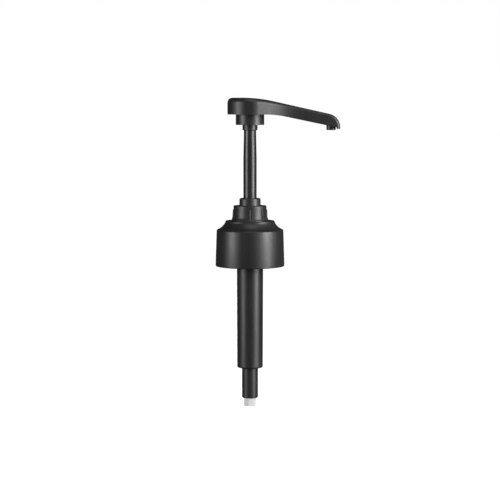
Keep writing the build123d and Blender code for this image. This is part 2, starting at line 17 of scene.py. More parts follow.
import bmesh
import bpy
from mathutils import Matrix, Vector


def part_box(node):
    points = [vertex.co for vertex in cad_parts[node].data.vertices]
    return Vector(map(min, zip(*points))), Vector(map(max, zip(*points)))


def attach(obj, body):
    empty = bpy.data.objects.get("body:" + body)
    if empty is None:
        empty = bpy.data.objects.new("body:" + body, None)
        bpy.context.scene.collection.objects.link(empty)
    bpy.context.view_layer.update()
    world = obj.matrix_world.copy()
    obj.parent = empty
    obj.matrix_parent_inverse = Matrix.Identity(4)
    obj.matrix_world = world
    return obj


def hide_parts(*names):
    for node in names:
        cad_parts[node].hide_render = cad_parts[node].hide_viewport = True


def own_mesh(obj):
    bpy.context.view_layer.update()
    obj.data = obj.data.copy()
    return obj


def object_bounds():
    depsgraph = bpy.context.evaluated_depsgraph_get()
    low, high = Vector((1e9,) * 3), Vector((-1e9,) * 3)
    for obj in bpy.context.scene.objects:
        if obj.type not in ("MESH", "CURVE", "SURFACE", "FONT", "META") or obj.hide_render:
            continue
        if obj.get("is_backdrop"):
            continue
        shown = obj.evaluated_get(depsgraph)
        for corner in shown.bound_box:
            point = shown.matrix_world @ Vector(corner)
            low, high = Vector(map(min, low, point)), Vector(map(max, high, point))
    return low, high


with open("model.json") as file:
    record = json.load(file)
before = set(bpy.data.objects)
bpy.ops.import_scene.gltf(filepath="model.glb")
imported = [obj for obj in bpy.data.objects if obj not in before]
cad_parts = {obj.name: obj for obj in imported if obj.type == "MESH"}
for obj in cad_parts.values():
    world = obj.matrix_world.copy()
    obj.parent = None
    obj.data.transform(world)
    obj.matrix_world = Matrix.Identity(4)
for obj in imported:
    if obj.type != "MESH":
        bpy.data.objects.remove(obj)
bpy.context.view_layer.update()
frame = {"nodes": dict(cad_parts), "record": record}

MM = 0.001
WELD = 1e-6
WHITE = (1.0, 1.0, 1.0, 1.0)

log = logging.getLogger("pump")


# --- Finishes


class Grain(Enum):
    """How coarse a moulded surface's texture is, as cells to the metre."""

    FINE = 5200.0
    MEDIUM = 3600.0


@dataclass(frozen=True)
class Finish:
    """A procedural surface; each kind of finish paints its own nodes."""

    name: str
    tone: tuple[float, float, float]
    roughness: float

    def material(self) -> bpy.types.Material:
        """Make the finish's material.

        Returns:
            The material, with its nodes painted.
        """
        made = bpy.data.materials.new(self.name)
        made.use_nodes = True
        made.diffuse_color = (*self.tone, 1.0)
        tree = made.node_tree
        shader = tree.nodes["Principled BSDF"]
        shader.inputs["Roughness"].default_value = self.roughness
        place = tree.nodes.new("ShaderNodeTexCoord").outputs["Object"]
        self.paint(tree, shader, place)
        return made

    def paint(
        self, tree: bpy.types.NodeTree, shader: bpy.types.Node, place: bpy.types.NodeSocket
    ) -> None:
        """Lay the finish's colour, gloss and texture.

        Args:
            tree: The material's node tree.
            shader: Its principled shader.
            place: The socket that gives a point's place on the piece.
        """
        raise NotImplementedError

    def noise(
        self, tree: bpy.types.NodeTree, place: bpy.types.NodeSocket, scale: float,
        detail: float = 3.0, stretch: tuple[float, float, float] = (1.0, 1.0, 1.0),
    ) -> bpy.types.NodeSocket:
        """Add a noise pattern.

        Args:
            tree: The material's node tree.
            place: The socket that gives a point's place.
            scale: Cells to the metre.
            detail: How many finer layers it has.
            stretch: How much the pattern is packed along each axis.

        Returns:
            The pattern's value socket.
        """
        mapping = tree.nodes.new("ShaderNodeMapping")
        mapping.inputs["Scale"].default_value = stretch
        pattern = tree.nodes.new("ShaderNodeTexNoise")
        pattern.inputs["Scale"].default_value = scale
        pattern.inputs["Detail"].default_value = detail
        tree.links.new(place, mapping.inputs["Vector"])
        tree.links.new(mapping.outputs["Vector"], pattern.inputs["Vector"])
        return pattern.outputs["Fac"]

    def spread(
        self, tree: bpy.types.NodeTree, value: bpy.types.NodeSocket, low: float, high: float,
        start: float = 0.35, end: float = 0.65,
    ) -> bpy.types.NodeSocket:
        """Map a pattern's middle range onto a new range.

        Args:
            tree: The material's node tree.
            value: The pattern.
            low: Result at the range's start.
            high: Result at the range's end.
            start: Pattern value that gives low.
            end: Pattern value that gives high.

        Returns:
            The mapped value's socket.
        """
        ranged = tree.nodes.new("ShaderNodeMapRange")
        ranged.inputs["From Min"].default_value = start
        ranged.inputs["From Max"].default_value = end
        ranged.inputs["To Min"].default_value = low
        ranged.inputs["To Max"].default_value = high
        tree.links.new(value, ranged.inputs["Value"])
        return ranged.outputs["Result"]

    def shade(
        self, tree: bpy.types.NodeTree, shader: bpy.types.Node, value: bpy.types.NodeSocket,
        dark: float, light: float,
    ) -> None:
        """Vary the base colour between a darker and a lighter shade of the tone.

        Args:
            tree: The material's node tree.
            shader: Its principled shader.
            value: The pattern whose middle range mixes the two.
            dark: The darker shade, as a factor on the tone.
            light: The lighter shade, as a factor on the tone.
        """
        share = self.spread(tree, value, 0.0, 1.0)
        mix = tree.nodes.new("ShaderNodeMix")
        mix.data_type = "RGBA"
        mix.inputs["A"].default_value = (*(min(1.0, c * dark) for c in self.tone), 1.0)
        mix.inputs["B"].default_value = (*(min(1.0, c * light) for c in self.tone), 1.0)
        tree.links.new(share, mix.inputs["Factor"])
        tree.links.new(mix.outputs["Result"], shader.inputs["Base Color"])

    def polish(
        self, tree: bpy.types.NodeTree, shader: bpy.types.Node, value: bpy.types.NodeSocket,
        low: float, high: float,
    ) -> None:
        """Vary the roughness about the finish's own.

        Args:
            tree: The material's node tree.
            shader: Its principled shader.
            value: The pattern that the roughness follows.
            low: What is added to the roughness where the pattern is low.
            high: What is added to it where the pattern is high.
        """
        gloss = self.spread(tree, value, self.roughness + low, self.roughness + high)
        tree.links.new(gloss, shader.inputs["Roughness"])

    def emboss(
        self, tree: bpy.types.NodeTree, shader: bpy.types.Node, height: bpy.types.NodeSocket,
        strength: float, depth: float,
    ) -> None:
        """Raise the surface's fine texture.

        Args:
            tree: The material's node tree.
            shader: Its principled shader.
            height: The pattern's height.
            strength: How much of the bump is applied.
            depth: Its depth in metres.
        """
        bump = tree.nodes.new("ShaderNodeBump")
        bump.inputs["Strength"].default_value = strength
        bump.inputs["Distance"].default_value = depth
        tree.links.new(height, bump.inputs["Height"])
        tree.links.new(bump.outputs["Normal"], shader.inputs["Normal"])


@dataclass(frozen=True)
class MouldedPlastic(Finish):
    """Satin moulded plastic: a fine spark-eroded grain, flow shading and faint rubbed marks."""

    grain: Grain = Grain.FINE
    grain_depth: float = 9e-6

    def paint(
        self, tree: bpy.types.NodeTree, shader: bpy.types.Node, place: bpy.types.NodeSocket
    ) -> None:
        """Lay flow shading in the colour, rubbed marks in the gloss and grain in the bump."""
        shader.inputs["IOR"].default_value = 1.5
        flow = self.noise(tree, place, scale=55.0, detail=4.0, stretch=(1.0, 1.0, 0.35))
        self.shade(tree, shader, flow, dark=0.86, light=1.16)
        rubs = self.noise(tree, place, scale=420.0, detail=5.0, stretch=(1.0, 1.0, 0.12))
        self.polish(tree, shader, rubs, low=-0.035, high=0.045)
        grain = self.noise(tree, place, scale=self.grain.value, detail=2.0)
        self.emboss(tree, shader, grain, strength=0.55, depth=self.grain_depth)


@dataclass(frozen=True)
class MilkyTube(Finish):
    """Translucent extruded polyethylene with faint draw lines along its length, and a painted glow
    for the light that shines through it.
    """

    # Painted light: emission strength and tone of a painted glow for the light that shines through
    # the tube, which is no lamp.
    painted_glow: float = 0.31
    painted_glow_tone: tuple[float, float, float] = (1.0, 1.0, 0.98)

    def paint(
        self, tree: bpy.types.NodeTree, shader: bpy.types.Node, place: bpy.types.NodeSocket
    ) -> None:
        """Lay draw lines, a milky body and a painted glow that stands in for the light coming
        through it.
        """
        shader.inputs["IOR"].default_value = 1.51
        shader.inputs["Subsurface Weight"].default_value = 0.5
        shader.inputs["Subsurface Radius"].default_value = (1.0, 1.0, 1.0)
        shader.inputs["Subsurface Scale"].default_value = 0.002
        # Painted light: this emission paints in the white surround's light coming through the tube.
        shader.inputs["Emission Color"].default_value = (*self.painted_glow_tone, 1.0)
        shader.inputs["Emission Strength"].default_value = self.painted_glow
        lines = self.noise(tree, place, scale=420.0, stretch=(1.0, 1.0, 0.02))
        self.shade(tree, shader, lines, dark=0.75, light=1.15)
        clouds = self.noise(tree, place, scale=260.0)
        self.polish(tree, shader, clouds, low=-0.05, high=0.08)
        self.emboss(tree, shader, lines, strength=0.35, depth=1.2e-5)


@dataclass(frozen=True)
class WhiteMoulding(Finish):
    """Matt white moulded polyethylene with a slightly waxy body."""

    def paint(
        self, tree: bpy.types.NodeTree, shader: bpy.types.Node, place: bpy.types.NodeSocket
    ) -> None:
        """Lay waxy clouding, an uneven gloss and a fine grain."""
        shader.inputs["Subsurface Weight"].default_value = 0.15
        shader.inputs["Subsurface Scale"].default_value = 0.001
        clouds = self.noise(tree, place, scale=180.0, detail=4.0)
        self.shade(tree, shader, clouds, dark=0.93, light=1.04)
        self.polish(tree, shader, clouds, low=0.06, high=-0.05)
        grain = self.noise(tree, place, scale=3200.0, detail=2.0)
        self.emboss(tree, shader, grain, strength=0.4, depth=1e-5)


@dataclass(frozen=True)
class SealRubber(Finish):
    """Matt moulded rubber or foam with a soft, slightly dusty sheen."""

    cells: float = 2600.0
    cell_depth: float = 2.5e-5

    def paint(
        self, tree: bpy.types.NodeTree, shader: bpy.types.Node, place: bpy.types.NodeSocket
    ) -> None:
        """Lay a dusty bloom over a pitted surface."""
        shader.inputs["Sheen Weight"].default_value = 0.12
        dust = self.noise(tree, place, scale=300.0, detail=5.0)
        self.shade(tree, shader, dust, dark=0.82, light=1.18)
        self.polish(tree, shader, dust, low=-0.06, high=0.08)
        pits = self.noise(tree, place, scale=self.cells)
        self.emboss(tree, shader, pits, strength=0.6, depth=self.cell_depth)


@dataclass(frozen=True)
class BareSteel(Finish):
    """Stainless steel, drawn for the spring or polished for the balls."""

    marks: float = 2400.0
    mark_depth: float = 4e-6

    def paint(
        self, tree: bpy.types.NodeTree, shader: bpy.types.Node, place: bpy.types.NodeSocket
    ) -> None:
        """Lay draw marks or polishing marks in the gloss and the bump."""
        shader.inputs["Metallic"].default_value = 1.0
        scuffs = self.noise(tree, place, scale=self.marks, detail=4.0, stretch=(1.0, 1.0, 3.0))
        self.shade(tree, shader, scuffs, dark=0.88, light=1.08)
        self.polish(tree, shader, scuffs, low=-0.2 * self.roughness, high=0.3 * self.roughness)
        self.emboss(tree, shader, scuffs, strength=0.4, depth=self.mark_depth)


class Wardrobe:
    """All the finishes, one material for each of the slots that the CAD nodes use."""

    def __init__(self) -> None:
        """Make every material once."""
        black = (0.0125, 0.0125, 0.0128)
        finishes = {
            "hood_black": MouldedPlastic("satin_hood", black, 0.44, Grain.FINE, 5e-6),
            "stem_black": MouldedPlastic("satin_stem", black, 0.36, Grain.FINE, 8e-7),
            "collar_black": MouldedPlastic("satin_collar", black, 0.44, Grain.MEDIUM, 5e-6),
            "closure_black": MouldedPlastic("satin_closure", black, 0.42, Grain.MEDIUM),
            "cylinder_black": MouldedPlastic("satin_cylinder", black, 0.42, Grain.FINE, 5e-6),
            "tube_natural": MilkyTube("milky_tube", (0.38, 0.385, 0.375), 0.42),
            "valve_white": WhiteMoulding("valve_white", (0.86, 0.86, 0.84), 0.45),
            "seal_rubber": SealRubber("seal_rubber", (0.055, 0.055, 0.06), 0.62),
            "gasket_foam": SealRubber("gasket_foam", (0.80, 0.80, 0.78), 0.75, 1900.0, 6e-5),
            "steel": BareSteel("drawn_steel", (0.62, 0.62, 0.63), 0.28),
            "ball_steel": BareSteel("polished_steel", (0.72, 0.72, 0.73), 0.09, 1200.0, 1e-6),
        }
        self.materials = {slot: finish.material() for slot, finish in finishes.items()}
        self.slots = {row["node"]: row["material_slot"] for row in frame["record"]["subparts"]}

    def dress_node(self, node: str) -> None:
        """Give a CAD node the finish of its own slot.

        Args:
            node: The CAD node's name.
        """
        worn = frame["nodes"][node]
        for row in worn.material_slots:
            row.material = self.materials[self.slots[node]]

    def dress_piece(self, piece: bpy.types.Object, node: str, body: str) -> None:
        """Finish a new piece: its material, its slot and the body that it rides on.

        Args:
            piece: The new piece.
            node: The CAD node whose slot it takes.
            body: The CAD body that carries it.
        """
        slot = self.slots[node]
        piece.data.materials.clear()
        piece.data.materials.append(self.materials[slot])
        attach(piece, body)


# --- Modelling moves that several pieces share


@dataclass(frozen=True)
class Corner:
    """One corner of a turned outline: radius and height, with an optional rounding."""

    radius: float
    height: float
    ease: float = 0.0


def eased(corners: list[Corner], segments: int = 5) -> list[Vector]:
    """Round the corners of a closed outline.

    Args:
        corners: The outline's corners, in order.
        segments: How many steps each rounding has.

    Returns:
        The outline's points on the XZ plane, in metres.
    """
    points: list[Vector] = []
    for number, corner in enumerate(corners):
        here = Vector((corner.radius, 0.0, corner.height))
        if not corner.ease:
            points.append(here * MM)
            continue
        before, after = corners[number - 1], corners[(number + 1) % len(corners)]
        back = (Vector((before.radius, 0.0, before.height)) - here).normalized()
        ahead = (Vector((after.radius, 0.0, after.height)) - here).normalized()
        half = back.angle(ahead) / 2
        reach = corner.ease / math.tan(half)
        centre = here + (back + ahead).normalized() * corner.ease / math.sin(half)
        start, end = here + back * reach - centre, here + ahead * reach - centre
        for step in range(segments + 1):
            spoke = start.slerp(end, step / segments).normalized() * corner.ease
            points.append((centre + spoke) * MM)
    return points


def arc_corners(start: Corner, end: Corner, bend: float, segments: int) -> list[Corner]:
    """Corners along a hollow arc between two corners, its centre up and out from the piece.

    Args:
        start: The arc's first corner.
        end: Its last corner.
        bend: The arc's radius.
        segments: How many steps it has.

    Returns:
        The corners between the two ends.
    """
    first = Vector((start.radius, 0.0, start.height))
    last = Vector((end.radius, 0.0, end.height))
    chord = last - first
    across = Vector((-chord.z, 0.0, chord.x)).normalized()
    if across.x < 0:
        across = -across
    centre = (first + last) / 2 + across * math.sqrt(bend**2 - (chord.length / 2) ** 2)
    between: list[Corner] = []
    for step in range(1, segments):
        spoke = (first - centre).slerp(last - centre, step / segments).normalized() * bend
        between.append(Corner(centre.x + spoke.x, centre.z + spoke.z))
    return between


def stock(name: str) -> bpy.types.Object:
    """Add a small plane and shrink it to one point at the origin, to draw from in edit mode.

    Args:
        name: The new piece's name.

    Returns:
        The piece, in edit mode with its point selected.
    """
    if bpy.context.object and bpy.context.object.mode != "OBJECT":
        bpy.ops.object.mode_set(mode="OBJECT")
    bpy.ops.object.select_all(action="DESELECT")
    bpy.ops.mesh.primitive_plane_add(size=MM, location=(0.0, 0.0, 0.0))
    piece = bpy.context.object
    piece.name = name
    piece.data.name = name
    bpy.ops.object.mode_set(mode="EDIT")
    bpy.ops.mesh.select_all(action="SELECT")
    bpy.ops.mesh.merge(type="CENTER")
    return piece


def add_point() -> None:
    """Add one more point at the origin to the piece in edit mode, and leave only it selected."""
    bpy.ops.mesh.select_all(action="DESELECT")
    bpy.ops.mesh.primitive_plane_add(size=MM, location=(0.0, 0.0, 0.0))
    bpy.ops.mesh.merge(type="CENTER")


def weld_all() -> None:
    """Select the whole of the piece in edit mode and merge the points that meet."""
    bpy.ops.mesh.select_all(action="SELECT")
    bpy.ops.mesh.remove_doubles(threshold=WELD)


def draw(points: list[Vector], closed: bool = True, weld: bool = True) -> None:
    """Draw a chain of edges from the selected point by extruding it along.

    Args:
        points: The chain's points.
        closed: Whether it comes back to its first point.
        weld: Whether points that meet are merged and everything is left selected.
    """
    bpy.ops.transform.translate(value=points[0])
    ends = points[1:] + ([points[0]] if closed else [])
    for here, there in zip(points, ends):
        bpy.ops.mesh.extrude_region_move(TRANSFORM_OT_translate={"value": there - here})
    if weld:
        weld_all()


def choose(piece: bpy.types.Object, kind: str, wanted: Callable[..., bool]) -> None:
    """Select vertices or edges by a rule.

    Args:
        piece: The piece, in edit mode.
        kind: "verts" or "edges".
        wanted: Rule that takes the element and says whether it is selected.
    """
    modes = {"verts": "VERT", "edges": "EDGE"}
    bpy.ops.mesh.select_mode(type=modes[kind])
    bpy.ops.mesh.select_all(action="DESELECT")
    form = bmesh.from_edit_mesh(piece.data)
    form.verts.index_update()
    for element in getattr(form, kind):
        if wanted(element):
            element.select_set(True)
    form.select_flush_mode()
    bmesh.update_edit_mesh(piece.data)


def close_up(smooth: float = 32.0) -> None:
    """Leave edit mode with normals outward and edges smoothed up to an angle.

    Args:
        smooth: Edges flatter than this many degrees are smoothed.
    """
    bpy.ops.mesh.select_mode(type="VERT")
    weld_all()
    bpy.ops.mesh.normals_make_consistent(inside=False)
    if bmesh.from_edit_mesh(bpy.context.object.data).calc_volume(signed=True) < 0:
        bpy.ops.mesh.flip_normals()
    bpy.ops.object.mode_set(mode="OBJECT")
    bpy.ops.object.shade_smooth_by_angle(angle=math.radians(smooth))


def apply_all(piece: bpy.types.Object) -> None:
    """Apply every modifier on a piece, in order.

    Args:
        piece: The piece.
    """
    bpy.ops.object.select_all(action="DESELECT")
    piece.select_set(True)
    bpy.context.view_layer.objects.active = piece
    for modifier in list(piece.modifiers):
        bpy.ops.object.modifier_apply(modifier=modifier.name)


def turned(name: str, outline: list[Vector], steps: int) -> bpy.types.Object:
    """Spin a closed outline about the pump's axis.

    Args:
        name: The new piece's name.
        outline: The outline's points, on the XZ plane.
        steps: How many steps the full turn has.

    Returns:
        The piece, in edit mode with everything selected.
    """
    piece = stock(name)
    draw(outline)
    bpy.ops.mesh.spin(steps=steps, angle=math.tau, center=(0.0, 0.0, 0.0), axis=(0.0, 0.0, 1.0))
    weld_all()
    return piece


# --- Sub-assemblies


@dataclass
class Closure:
    """The screw closure: smooth side, coved shoulder, crown and the neck's thread."""

    side_radius: float = 21.43
    shoulder_radius: float = 20.68
    ledge_radius: float = 20.23
    ledge_height: float = 4.1
    shoulder_height: float = 3.65
    skirt_height: float = -18.7
    crown_radius: float = 15.25
    crown_height: float = 9.5
    brow_height: float = 8.75
    cove: float = 9.0
    mouth_radius: float = 9.1
    plate: float = 2.0
    cavity_radius: float = 13.15
    ceiling: float = 3.0
    bore_radius: float = 19.0
    lip_ease: float = 0.35
    skirt_ease: float = 0.55
    shoulder_ease: float = 0.3
    ledge_ease: float = 0.18
    brow_ease: float = 0.3
    crown_ease: float = 0.4
    mouth_ease: float = 0.25
    cavity_ease: float = 0.35
    ceiling_ease: float = 0.3
    bore_ease: float = 0.4
    cove_steps: int = 14
    steps: int = 160
    thread_crest: float = 17.8
    thread_pitch: float = 25.4 / 6
    thread_turns: float = 1.5
    thread_start: float = 4.2
    thread_sunk: float = 0.3
    root_half: float = 1.3
    crest_half: float = 0.45
    crest_ease: float = 0.18
    crest_band: float = 0.4
    thread_steps: int = 144
    run_out_steps: int = 10
    thread_smooth: float = 40.0

    def cap(self) -> bpy.types.Object:
        """Turn the cap with eased rims.

        Returns:
            The finished cap.
        """
        ledge = Corner(self.ledge_radius, self.ledge_height, self.ledge_ease)
        brow = Corner(self.crown_radius, self.brow_height, self.brow_ease)
        plate_bottom = self.crown_height - self.plate
        corners = [
            Corner(self.bore_radius, self.skirt_height, self.lip_ease),
            Corner(self.side_radius, self.skirt_height, self.skirt_ease),
            Corner(self.shoulder_radius, self.shoulder_height, self.shoulder_ease),
            ledge,
            *arc_corners(ledge, brow, self.cove, self.cove_steps),
            brow,
            Corner(self.crown_radius, self.crown_height, self.crown_ease),
            Corner(self.mouth_radius, self.crown_height, self.mouth_ease),
            Corner(self.mouth_radius, plate_bottom, self.mouth_ease),
            Corner(self.cavity_radius, plate_bottom, self.cavity_ease),
            Corner(self.cavity_radius, self.ceiling, self.ceiling_ease),
            Corner(self.bore_radius, self.ceiling, self.bore_ease),
        ]
        cap = turned("closure_shell", eased(corners), self.steps)
        close_up()
        return cap

    def thread(self) -> bpy.types.Object:
        """Screw the thread's rib up the bore, run out at both ends.

        Returns:
            The finished rib.
        """
        root, crest = self.bore_radius + self.thread_sunk, self.thread_crest
        bottom = -self.thread_start - self.thread_turns * self.thread_pitch
        profile = [
            Corner(root, bottom - self.root_half),
            Corner(crest, bottom - self.crest_half, self.crest_ease),
            Corner(crest, bottom + self.crest_half, self.crest_ease),
            Corner(root, bottom + self.root_half),
        ]
        piece = stock("closure_thread")
        draw(eased(profile, segments=3))
        bpy.ops.mesh.edge_face_add()
        bpy.ops.object.mode_set(mode="OBJECT")
        points = len(piece.data.vertices)
        screw = piece.modifiers.new("thread", "SCREW")
        screw.angle = math.tau * self.thread_turns
        screw.screw_offset = self.thread_turns * self.thread_pitch * MM
        screw.steps = screw.render_steps = self.thread_steps
        screw.axis = "Z"
        screw.use_smooth_shade = True
        apply_all(piece)
        bpy.ops.object.mode_set(mode="EDIT")
        band = (crest + self.crest_band) * MM
        for ring in range(self.run_out_steps):
            grow = 1 + (root / crest - 1) * (1 - ring / self.run_out_steps)
            for place in (ring, self.thread_steps - ring):
                rows = range(place * points, (place + 1) * points)
                choose(
                    piece, "verts", lambda v, rows=rows: v.index in rows and v.co.xy.length < band
                )
                bpy.ops.transform.resize(value=(grow, grow, 1.0), center_override=(0.0, 0.0, 0.0))
        choose(piece, "edges", lambda e: e.is_boundary)
        bpy.ops.mesh.edge_face_add()
        close_up(self.thread_smooth)
        return piece

    def build(self, wardrobe: Wardrobe) -> list[str]:
        """Make and dress the closure.

        Args:
            wardrobe: The finishes.

        Returns:
            The names of its pieces.
        """
        cap, thread = self.cap(), self.thread()
        for piece in (cap, thread):
            wardrobe.dress_piece(piece, "closure_cap", "closure")
        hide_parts("closure_cap")
        return [cap.name, thread.name]


@dataclass
class LockCollar:
    """The ribbed nut, its wiping ring and the shank that snaps into the cylinder."""

    nut_radius: float = 10.2
    foot_radius: float = 10.42
    foot_flare: float = 1.05
    foot_bottom: float = 9.55
    foot_edge: float = 0.1
    foot_top: float = 12.5
    flare_bend: float = 5.5
    flare_steps: int = 8
    nut_draft: float = 0.02
    nut_top: float = 18.85
    ring_radius: float = 6.54
    ring_top: float = 23.45
    throat_radius: float = 5.08
    throat_floor: float = 15.22
    neck_radius: float = 4.32
    pocket_radius: float = 7.2
    pocket_top: float = 11.9
    shank_radius: float = 8.8
    shank_bottom: float = 3.0
    bead_radius: float = 9.1
    bead_bottom: float = 4.3
    bead_length: float = 0.7
    bead_slope: float = 0.3
    nut_ease: float = 0.22
    ring_draft: float = 0.05
    ring_foot_ease: float = 0.3
    ring_ease: float = 0.75
    throat_ease: float = 0.3
    neck_ease: float = 0.15
    pocket_ease: float = 0.3
    mouth_ease: float = 0.2
    shank_ease: float = 0.35
    bead_ease: float = 0.1
    ease_segments: int = 4
    rib_count: int = 8
    rib_levels: tuple[tuple[float, float], ...] = ((1.6, 0.3), (0.6, 0.14))
    rib_top: float = 16.65
    rib_fade: float = 0.55
    rib_depths: tuple[float, float] = (-0.05, 0.9)
    rib_ends: tuple[float, float] = (0.5, -0.3)
    steps: int = 360
    smooth: float = 38.0

    def body(self) -> bpy.types.Object:
        """Turn the collar and pull its ribs out of the nut.

        Returns:
            The finished collar.
        """
        foot = self.foot_radius + self.foot_flare
        flare = Corner(foot, self.foot_bottom + self.foot_edge)
        waist = Corner(self.foot_radius, self.foot_top)
        bead_top = self.bead_bottom + self.bead_length
        corners = [
            Corner(self.shank_radius, self.foot_bottom),
            Corner(foot, self.foot_bottom),
            flare,
            *arc_corners(flare, waist, self.flare_bend, self.flare_steps),
            waist,
            Corner(self.nut_radius + 2 * self.nut_draft, self.rib_top - self.rib_fade),
            Corner(self.nut_radius + self.nut_draft, self.rib_top),
            Corner(self.nut_radius, self.nut_top, self.nut_ease),
            Corner(self.ring_radius + self.ring_draft, self.nut_top, self.ring_foot_ease),
            Corner(self.ring_radius, self.ring_top, self.ring_ease),
            Corner(self.throat_radius, self.ring_top, self.throat_ease),
            Corner(self.throat_radius, self.throat_floor, self.throat_ease),
            Corner(self.neck_radius, self.throat_floor, self.neck_ease),
            Corner(self.neck_radius, self.pocket_top, self.neck_ease),
            Corner(self.pocket_radius, self.pocket_top, self.pocket_ease),
            Corner(self.pocket_radius, self.shank_bottom, self.mouth_ease),
            Corner(self.shank_radius, self.shank_bottom, self.shank_ease),
            Corner(self.shank_radius, self.bead_bottom - self.bead_slope),
            Corner(self.bead_radius, self.bead_bottom, self.bead_ease),
            Corner(self.bead_radius, bead_top, self.bead_ease),
            Corner(self.shank_radius, bead_top + self.bead_slope),
        ]
        piece = turned("collar_body", eased(corners, self.ease_segments), self.steps)
        inner, outer = ((self.nut_radius + depth) * MM for depth in self.rib_depths)
        low = (self.foot_bottom + self.rib_ends[0]) * MM
        high = (self.rib_top + self.rib_ends[1]) * MM
        spacing = 360 / self.rib_count
        for reach, raised in self.rib_levels:

            def on_rib(vert: bmesh.types.BMVert, reach: float = reach) -> bool:
                """Whether a point of the nut's side lies within reach of a rib's middle."""
                angle = math.degrees(math.atan2(vert.co.y, vert.co.x)) % spacing
                near = min(angle, spacing - angle) < reach
                return near and low < vert.co.z < high and inner < vert.co.xy.length < outer

            choose(piece, "verts", on_rib)
            grow = 1 + raised / self.nut_radius
            bpy.ops.transform.resize(value=(grow, grow, 1.0), center_override=(0.0, 0.0, 0.0))
        close_up(self.smooth)
        return piece

    def build(self, wardrobe: Wardrobe) -> list[str]:
        """Make and dress the collar, and dress the bush, wiper and gasket inside it.

        Args:
            wardrobe: The finishes.

        Returns:
            The names of its pieces.
        """
        collar = self.body()
        wardrobe.dress_piece(collar, "lock_collar", "pump_body")
        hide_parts("lock_collar")
        inner = ["stem_bush", "stem_wiper", "collar_gasket"]
        for node in inner:
            wardrobe.dress_node(node)
        return [collar.name, *inner]


@dataclass
class PumpBody:
    """The cylinder with its inlet valve, spring and gasket, and the cut end of the dip tube."""

    tube_wall: float = 0.9
    cut_ease: float = 0.12
    tube_smooth: float = 40.0
    steps: int = 96
    wire: float = 1.2
    wire_segments: int = 2
    coils: int = 12
    end_rise: float = 1.25
    coil_steps: int = 28
    coil_smooth: float = 50.0
    stroke_joint: str = "piston_stroke"

    def spring(self) -> bpy.types.Object:
        """Wind the return spring with closed, ground ends.

        Returns:
            The finished spring, at its rest length.
        """
        low, high = (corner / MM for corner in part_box("return_spring"))
        radius = high.x - self.wire / 2
        sunk = self.wire / 4
        open_coils = self.coils - 2
        pitch = (high.z - low.z - 2 * sunk - 2 * self.end_rise) / open_coils
        path = []
        for step in range(self.coils * self.coil_steps + 1):
            turns = step / self.coil_steps
            rise = self.end_rise * min(turns, 1.0)
            rise += pitch * min(max(turns - 1.0, 0.0), open_coils)
            rise += self.end_rise * max(turns - self.coils + 1.0, 0.0)
            side, front = math.cos(math.tau * turns), math.sin(math.tau * turns)
            path.append(Vector((side * radius, front * radius, low.z + sunk + rise)) * MM)
        stock("return_coil")
        draw(path, closed=False)
        bpy.ops.object.mode_set(mode="OBJECT")
        bpy.ops.object.convert(target="CURVE")
        wire = bpy.context.object.data
        wire.bevel_depth = self.wire / 2 * MM
        wire.bevel_resolution = self.wire_segments
        wire.use_fill_caps = True
        bpy.ops.object.convert(target="MESH")
        piece = bpy.context.object
        bpy.ops.object.mode_set(mode="EDIT")
        weld_all()
        for end, side in ((low.z, 1.0), (high.z, -1.0)):
            bpy.ops.mesh.select_all(action="SELECT")
            bpy.ops.mesh.bisect(
                plane_co=(0.0, 0.0, end * MM),
                plane_no=(0.0, 0.0, side),
                use_fill=True,
                clear_inner=True,
                threshold=WELD,
            )
        close_up(self.coil_smooth)
        return piece

    def seat_spring(self, spring: bpy.types.Object) -> None:
        """Give the spring a mesh of its own.

        Args:
            spring: The finished spring, dressed and riding.
        """
        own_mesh(spring)

    def dip_tube(self) -> bpy.types.Object:
        """Turn the dip tube with the softened edge that a cut leaves.

        Returns:
            The finished tube.
        """
        low, high = (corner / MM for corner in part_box("dip_tube"))
        outside, inside = high.x, high.x - self.tube_wall
        corners = [
            Corner(inside, low.z, self.cut_ease), Corner(outside, low.z, self.cut_ease),
            Corner(outside, high.z, self.cut_ease), Corner(inside, high.z, self.cut_ease),
        ]
        piece = turned("dip_tube_cut", eased(corners), self.steps)
        close_up(self.tube_smooth)
        return piece

    def build(self, wardrobe: Wardrobe) -> list[str]:
        """Make and dress the tube, and dress the cylinder and all that it holds.

        Args:
            wardrobe: The finishes.

        Returns:
            The names of its pieces.
        """
        tube, spring = self.dip_tube(), self.spring()
        for piece, node in ((tube, "dip_tube"), (spring, "return_spring")):
            wardrobe.dress_piece(piece, node, "pump_body")
            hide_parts(node)
        self.seat_spring(spring)
        kept = ["pump_cylinder", "inlet_cage", "inlet_ball", "neck_gasket"]
        for node in kept:
            wardrobe.dress_node(node)
        return [tube.name, spring.name, *kept]


@dataclass
class Plunger:
    """The stem with its upper valve and the piston on its foot."""

    nodes: tuple[str, ...] = (
        "stem", "ball_stop", "delivery_ball", "piston_carrier", "piston_seal", "piston_nut",
    )

    def build(self, wardrobe: Wardrobe) -> list[str]:
        """Dress the stem, valve and piston.

        Args:
            wardrobe: The finishes.

        Returns:
            The names of its pieces.
        """
        for node in self.nodes:
            wardrobe.dress_node(node)
        return list(self.nodes)


@dataclass(frozen=True)
class Sweep:
    """A side profile: level, then bent down, then straight on at its droop."""

    level: float
    start: float
    bend: float
    droop: float

    def height(self, along: float, depth: float = 0.0) -> float:
        """Height of the profile at a place along it.

        Args:
            along: Place along the profile.
            depth: How far the profile is moved in.

        Returns:
            The height.
        """
        if along <= self.start:
            return self.level - depth
        droop, radius = math.radians(self.droop), self.bend - depth
        centre, end = self.level - self.bend, self.start + radius * math.sin(droop)
        if along <= end:
            return centre + math.sqrt(radius**2 - (along - self.start) ** 2)
        return centre + radius * math.cos(droop) - (along - end) * math.tan(droop)


